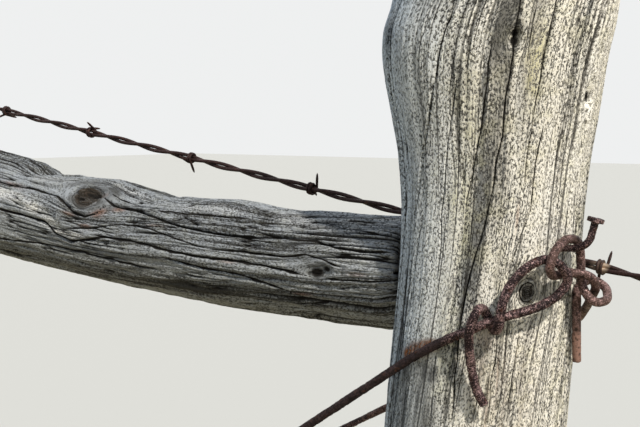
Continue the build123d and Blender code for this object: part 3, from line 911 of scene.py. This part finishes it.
class FENCE_OT_posts(bpy.types.Operator):
    """Carves the three weathered posts"""
    bl_idname = "fence.posts"
    bl_label = "Posts"

    def execute(self, context):
        sizes = context.scene.fence_sizes
        material = wood_finish("Bleached post", "post", context.scene.fence_colours,
                               crust_share=0.22, speckle=0.95, heart_edge=0.37)
        logs = logs_of_fence()
        posts = {"brace_post": BRACE_POST, "end_post": END_POST, "line_post": LINE_POST}
        for step, (node, facts) in enumerate(posts.items()):
            facts = {**facts, "rough": sizes.furrow_depth}
            shape_log(f"weathered_{node}", logs[node], facts, material,
                      sizes.seed + 100 * step)
        return {"FINISHED"}


class FENCE_OT_rail(bpy.types.Operator):
    """Carves the crooked brace rail"""
    bl_idname = "fence.rail"
    bl_label = "Brace rail"

    def execute(self, context):
        material = wood_finish("Slate rail", "rail", context.scene.fence_colours,
                               crust_share=0.07, speckle=0.8, heart_edge=0.56)
        shape_log("weathered_brace_rail", logs_of_fence()["brace_rail"], BRACE_RAIL, material,
                  context.scene.fence_sizes.seed + 300)
        return {"FINISHED"}


class FENCE_OT_brace_wire(bpy.types.Operator):
    """Pits and rusts the hand-bent brace wire and its nail"""
    bl_idname = "fence.brace_wire"
    bl_label = "Brace wire"

    def execute(self, context):
        sizes, colours = context.scene.fence_sizes, context.scene.fence_colours
        material = rust_finish(
            "Old brace rust", colours.rust_dark, colours.rust_pink, colours, 0.32)
        for node, voxel in BRACE_WIRES.items():
            skin = skin_of(node, voxel, 4)
            back_eye, front = node == "brace_wire_back_eye", "front" in node
            points = pit(skin, sizes.pit_depth * (0.4 if back_eye else 1.0), 21)
            # The back eye is rubbed smooth, most of all down its tail
            tail = np.clip((TAIL_HEIGHT - points[:, 2]) / TAIL_FADE, 0, 1)
            tail = tail * (points[:, 0] > TAIL_FROM)
            give_attribute(skin, "rubbed", (0.18 + 0.72 * tail) * back_eye)
            # The front pieces are painted in shade toward the left
            painted_shade = np.clip((PAINTED_SHADE_FROM - points[:, 0]) / PAINTED_SHADE_FADE, 0, 1)
            give_attribute(skin, "painted_shade", painted_shade * front)
            finish_piece(skin, "rusted_" + node, material, [node])
        nail = skin_of("bent_nail", NAIL_SKIN, 3)
        pit(nail, sizes.pit_depth * 0.8, 25)
        finish_piece(nail, "rusted_bent_nail", material, ["bent_nail"])
        return {"FINISHED"}


class FENCE_OT_strands(bpy.types.Operator):
    """Twists the barbed strands, winds their barbs and ties, and rusts the staples"""
    bl_idname = "fence.strands"
    bl_label = "Barbed strands"

    def execute(self, context):
        sizes, colours = context.scene.fence_sizes, context.scene.fence_colours
        material = rust_finish("Strand rust", [c * 0.45 for c in colours.rust_brown],
                               colours.rust_brown, colours, 0.2)
        logs = logs_of_fence()
        for number in STRAND_BOWS:
            close = number == CLOSE_STRAND
            strand = Strand(number, logs, sizes)
            runs = list(strand.twisted_pair(sizes))
            firsts = []
            for k, spot, run in strand.barb_places(sizes):
                runs.append(self.barb(spot, run, BARB_TURN * (k + number), sizes))
                if k == 0:
                    firsts.append(spot)
            piece = wires(f"strand_{number}", runs, 3 if close else 2)
            if close:
                # A pale collar sits by the first barb past the brace post
                away = np.linalg.norm(vectors_of(piece, "co") - firsts[1], axis=1)
                give_attribute(piece, "collar", np.exp(-(away / COLLAR_REACH) ** 4))
            finish_piece(piece, f"twisted_strand_{number}", material,
                         [f"barbed_strand_{number}"])
            for node, (touch, end) in strand.ties.items():
                self.tie(node, touch, strand.middle, end, sizes, material)
        for number in STRAND_BOWS:
            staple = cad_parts[f"staple_{number}"]
            staple.data.materials.clear()
            staple.data.materials.append(material)
        return {"FINISHED"}

    def barb(self, spot, run, angle, sizes):
        """A two-point barb: a wire wound twice round the strand, its ends cut to points."""
        thin = sizes.barb_wire / 2
        x_way = np.array((0.0, 0.0, 1.0)) - run * run[2]
        x_way /= np.linalg.norm(x_way)
        y_way = np.cross(run, x_way)
        turns = np.linspace(-math.pi, math.pi * 3, COIL_POINTS) + angle + math.pi
        along = np.linspace(-1, 1, COIL_POINTS) * sizes.barb_wire * 1.1
        wind = sizes.strand_wire + thin * 0.9
        coil = [spot + run * s + wind * (np.cos(t) * x_way + np.sin(t) * y_way)
                for t, s in zip(turns, along)]
        tips = []
        for t, start, way in ((turns[0], coil[0], -1), (turns[-1], coil[-1], 1)):
            out = np.cos(t) * x_way + np.sin(t) * y_way
            tangent = way * (-np.sin(t) * x_way + np.cos(t) * y_way)
            lean = out * 0.28 + tangent * 0.96
            tips.append([start + lean * sizes.barb_reach * f for f in (0.28, 0.62, 0.86, 0.98)])
        taper = [thin * f for f in (0.12, 0.7, 1, 1)]
        return np.array(tips[0][::-1] + coil + tips[1]), taper + [thin] * COIL_POINTS + taper[::-1]

    def tie(self, node, touch, middle, end, sizes, material):
        """The strand's own end, wound back round it beside the post."""
        low, high = (np.array(v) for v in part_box(node))
        half = sizes.strand_wire / 2
        way = (middle - touch) / np.linalg.norm(middle - touch)
        side, up = around_line(np.array([touch, touch + way, touch + 2 * way]))
        start = touch + way * abs((low if way[0] > 0 else high)[0] - touch[0]) / abs(way[0])
        length = high[0] - low[0]
        turns = length * 0.92 / sizes.strand_wire
        count = int(turns * 12)
        spin = np.linspace(0, turns * 2 * math.pi, count) - math.pi / 2
        travel = np.linspace(0.04, 0.96, count) * length
        coil = start + np.outer(travel, way) + 3 * half * (
            np.cos(spin)[:, None] * side[0] + np.sin(spin)[:, None] * up[0])
        lead = np.linspace(end, coil[0], 8)[:-1]
        lead[1:-1, 1] -= 0.002
        points = np.concatenate([lead, coil])
        piece = wires(node, [(points, np.full(len(points), half))], 2)
        finish_piece(piece, "wound_" + node, material, [node])


class FENCE_OT_stage(bpy.types.Operator):
    """Sets the pale floor, the lamps and the camera"""
    bl_idname = "fence.stage"
    bl_label = "Stage"

    def execute(self, context):
        self.add_floor(context.scene.fence_colours)
        self.add_world(context.scene)
        sun = bpy.data.lights.new("Key", "SUN")
        for key, value in SUN.items():
            setattr(sun, key, value)
        lamp = bpy.data.objects.new("Key", sun)
        toward = Vector((math.cos(SUN_BEARING) * math.cos(SUN_HEIGHT),
                         math.sin(SUN_BEARING) * math.cos(SUN_HEIGHT), math.sin(SUN_HEIGHT)))
        lamp.rotation_euler = toward.to_track_quat("Z", "Y").to_euler()
        lamp.location = toward * SUN_DISTANCE
        context.scene.collection.objects.link(lamp)

        lens = bpy.data.cameras.new("Photo angle")
        lens.lens, lens.sensor_width, lens.clip_start = LENS, SENSOR, NEAREST
        camera = bpy.data.objects.new("Photo angle", lens)
        camera.location = CAMERA_PLACE
        camera.rotation_euler = (math.radians(90 - CAMERA_DIP), 0, math.radians(CAMERA_TURN))
        context.scene.collection.objects.link(camera)
        context.scene.camera = camera
        context.scene.view_settings.view_transform = "Standard"
        return {"FINISHED"}

    def add_floor(self, colours):
        """A wide floor, pale to the camera and the colour of dry grass to the light."""
        bpy.ops.mesh.primitive_plane_add(size=FLOOR_SIZE, location=(0, 0, 0))
        floor = bpy.context.object
        floor.name = "studio_floor"
        paint = Finish("Studio floor")
        seen = paint.node("ShaderNodeLightPath", output="Is Camera Ray")
        paint.fill(paint.shader.inputs["Base Color"],
                   paint.blend(seen, colours.floor_bounce, colours.floor))
        paint.shader.inputs["Roughness"].default_value = 0.9
        floor.data.materials.append(paint.material)

    def add_world(self, scene):
        """Sky light, and a pale background seen by the camera and in metal and glass."""
        scene.world = bpy.data.worlds.new("Studio")
        scene.world.use_nodes = True
        tree = scene.world.node_tree
        tree.nodes.clear()
        lit, seen, mixer, out = (tree.nodes.new(f"ShaderNode{kind}") for kind in (
            "Background", "Background", "MixShader", "OutputWorld"))
        lit.inputs["Color"].default_value = SKY
        lit.inputs["Strength"].default_value = SKY_STRENGTH
        seen.inputs["Color"].default_value = BACKDROP
        path = tree.nodes.new("ShaderNodeLightPath")
        factor = path.outputs["Is Camera Ray"]
        for ray in ("Is Glossy Ray", "Is Transmission Ray"):
            either = tree.nodes.new("ShaderNodeMath")
            either.operation = "MAXIMUM"
            tree.links.new(factor, either.inputs[0])
            tree.links.new(path.outputs[ray], either.inputs[1])
            factor = either.outputs[0]
        tree.links.new(factor, mixer.inputs[0])
        tree.links.new(lit.outputs[0], mixer.inputs[1])
        tree.links.new(seen.outputs[0], mixer.inputs[2])
        tree.links.new(mixer.outputs[0], out.inputs[0])


class FENCE_PT_panel(bpy.types.Panel):
    """Lists the fence's pieces in the sidebar"""
    bl_idname = "FENCE_PT_panel"
    bl_label = "Weathered fence"
    bl_space_type = "VIEW_3D"
    bl_region_type = "UI"
    bl_category = "Fence"

    def draw(self, context):
        for group in (context.scene.fence_sizes, context.scene.fence_colours):
            for key in group.__annotations__:
                self.layout.prop(group, key)
        for operator in OPERATORS:
            self.layout.operator(operator.bl_idname)


GROUPS = (FenceSizes, FenceColours)
OPERATORS = (FENCE_OT_posts, FENCE_OT_rail, FENCE_OT_brace_wire, FENCE_OT_strands, FENCE_OT_stage)


def register():
    for kind in (*GROUPS, *OPERATORS, FENCE_PT_panel):
        bpy.utils.register_class(kind)
    bpy.types.Scene.fence_sizes = PointerProperty(type=FenceSizes)
    bpy.types.Scene.fence_colours = PointerProperty(type=FenceColours)


def unregister():
    del bpy.types.Scene.fence_sizes, bpy.types.Scene.fence_colours
    for kind in reversed((*GROUPS, *OPERATORS, FENCE_PT_panel)):
        bpy.utils.unregister_class(kind)


def main():
    register()
    bpy.ops.fence.posts()
    bpy.ops.fence.rail()
    bpy.ops.fence.brace_wire()
    bpy.ops.fence.strands()
    bpy.ops.fence.stage()


if __name__ == "__main__":
    main()
